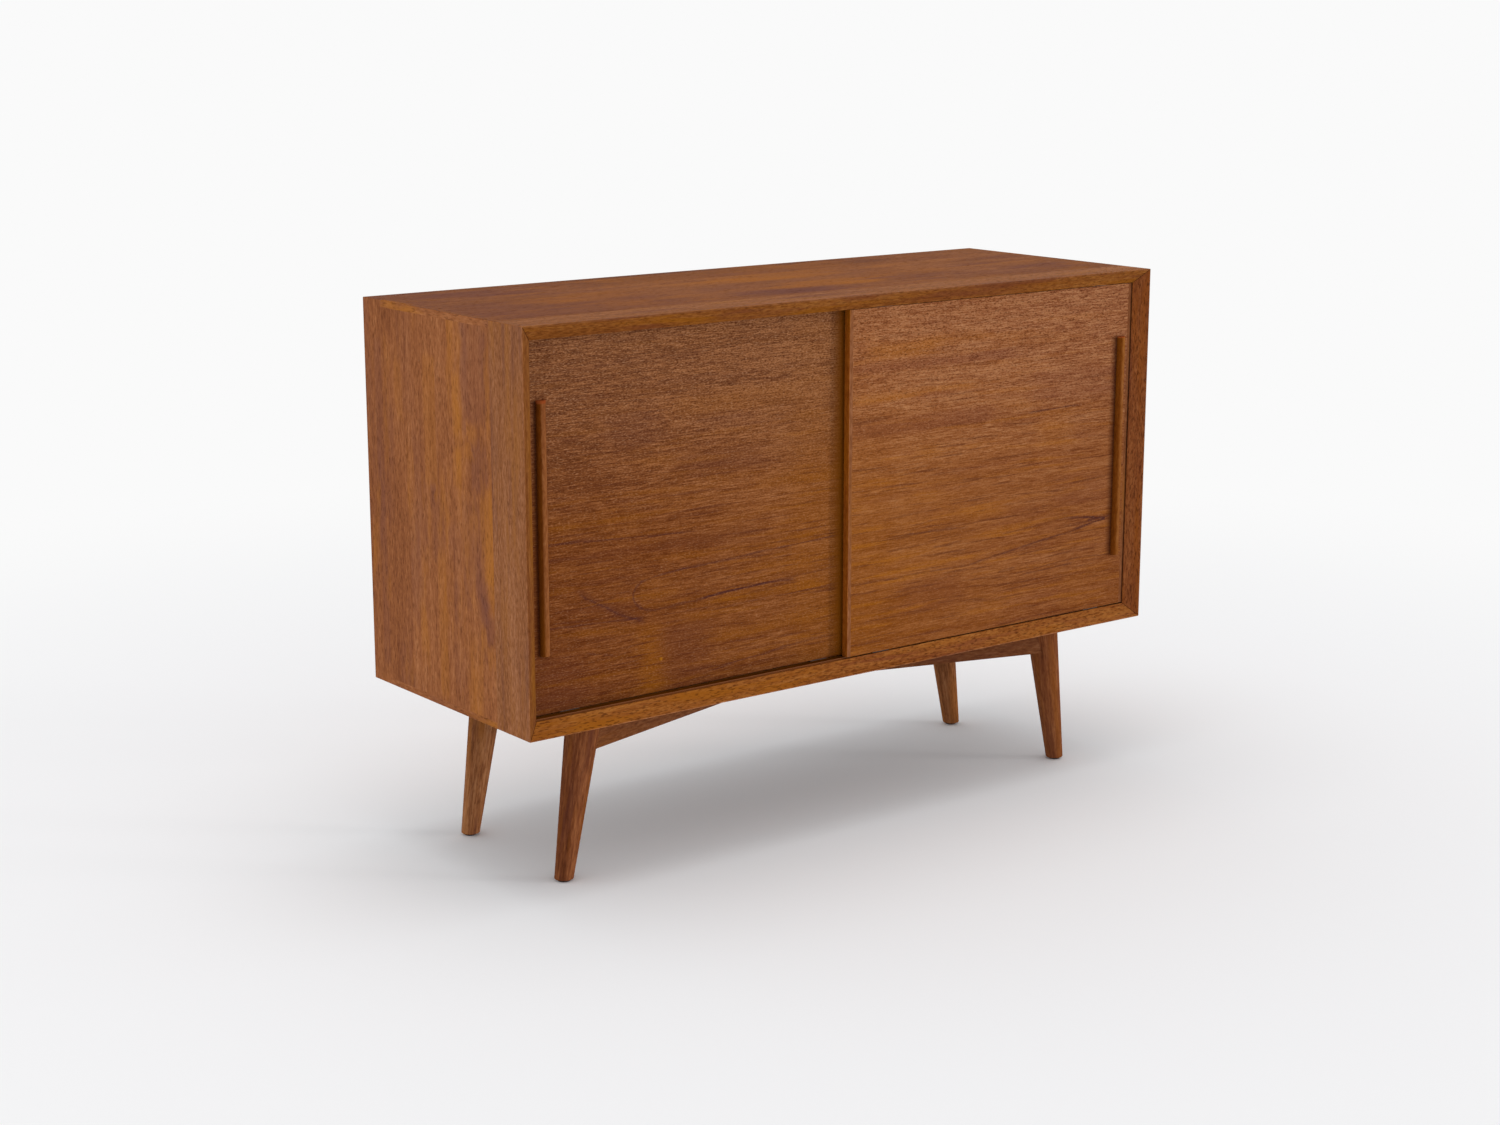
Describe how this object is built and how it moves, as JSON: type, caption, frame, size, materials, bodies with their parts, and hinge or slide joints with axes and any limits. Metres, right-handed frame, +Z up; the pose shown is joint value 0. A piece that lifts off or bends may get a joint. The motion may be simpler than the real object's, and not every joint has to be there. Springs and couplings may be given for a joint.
{
  "type": "sliding door cabinet",
  "caption": "Low mitred wooden cabinet with bypass sliding doors, half-round pulls, shelves behind them, crossed rails and splayed tapered legs.",
  "frame": {"origin": "on the floor, under the middle of the case", "axes": "+X to the cabinet's right as seen from the front, -Y out of the front, +Z up"},
  "size_m": [1.2, 0.4337, 0.825],
  "materials": {
    "case_veneer": "satin oiled reddish-brown hardwood veneer",
    "door_veneer": "satin oiled reddish-brown hardwood veneer, grain across",
    "solid_lipping": "satin oiled solid hardwood",
    "pull_wood": "satin oiled solid hardwood",
    "leg_wood": "satin oiled turned hardwood",
    "back_plywood": "satin veneered plywood",
    "beech": "bare beech",
    "steel": "zinc plated",
    "peg_metal": "nickel plated",
    "track_plastic": "matt dark brown",
    "glide_nylon": "matt dark nylon",
    "foot_pad": "matt dark plastic"
  },
  "bodies": {
    "case": {"back_left_foot_pad": "foot_pad", "back_left_leg": "leg_wood", "back_panel": "back_plywood", "back_panel_screws": "steel", "back_right_foot_pad": "foot_pad", "back_right_leg": "leg_wood", "bottom_back_lip": "solid_lipping", "bottom_front_lip": "solid_lipping", "bottom_front_track": "track_plastic", "bottom_mitre_lips": "solid_lipping", "bottom_panel": "case_veneer", "bottom_rear_track": "track_plastic", "divider": "case_veneer", "divider_dowels": "beech", "divider_lip": "solid_lipping", "front_left_foot_pad": "foot_pad", "front_left_leg": "leg_wood", "front_right_foot_pad": "foot_pad", "front_right_leg": "leg_wood", "left_rail": "leg_wood", "left_shelf": "case_veneer", "left_shelf_lip": "solid_lipping", "left_shelf_pegs": "peg_metal", "left_side_back_lip": "solid_lipping", "left_side_front_lip": "solid_lipping", "left_side_mitre_lips": "solid_lipping", "left_side_panel": "case_veneer", "leg_inserts": "steel", "leg_studs": "steel", "mitre_splines": "beech", "rail_screws": "steel", "right_rail": "leg_wood", "right_shelf": "case_veneer", "right_shelf_lip": "solid_lipping", "right_shelf_pegs": "peg_metal", "right_side_back_lip": "solid_lipping", "right_side_front_lip": "solid_lipping", "right_side_mitre_lips": "solid_lipping", "right_side_panel": "case_veneer", "top_back_lip": "solid_lipping", "top_front_lip": "solid_lipping", "top_front_track": "track_plastic", "top_mitre_lips": "solid_lipping", "top_panel": "case_veneer", "top_rear_track": "track_plastic"},
    "left_door": {"left_door_glides": "glide_nylon", "left_door_guides": "glide_nylon", "left_door_inner_lip": "solid_lipping", "left_door_outer_lip": "solid_lipping", "left_door_panel": "door_veneer", "left_pull": "pull_wood", "left_pull_screws": "steel"},
    "right_door": {"right_door_glides": "glide_nylon", "right_door_guides": "glide_nylon", "right_door_inner_lip": "solid_lipping", "right_door_outer_lip": "solid_lipping", "right_door_panel": "door_veneer", "right_pull": "pull_wood", "right_pull_screws": "steel"}
  },
  "joints": [
    {"name": "left_door_slide", "type": "slide", "parent": "case", "child": "left_door", "axis": [1, 0, 0], "range_m": [0, 0.561]},
    {"name": "right_door_slide", "type": "slide", "parent": "case", "child": "right_door", "axis": [1, 0, 0], "range_m": [-0.561, 0]}
  ]
}
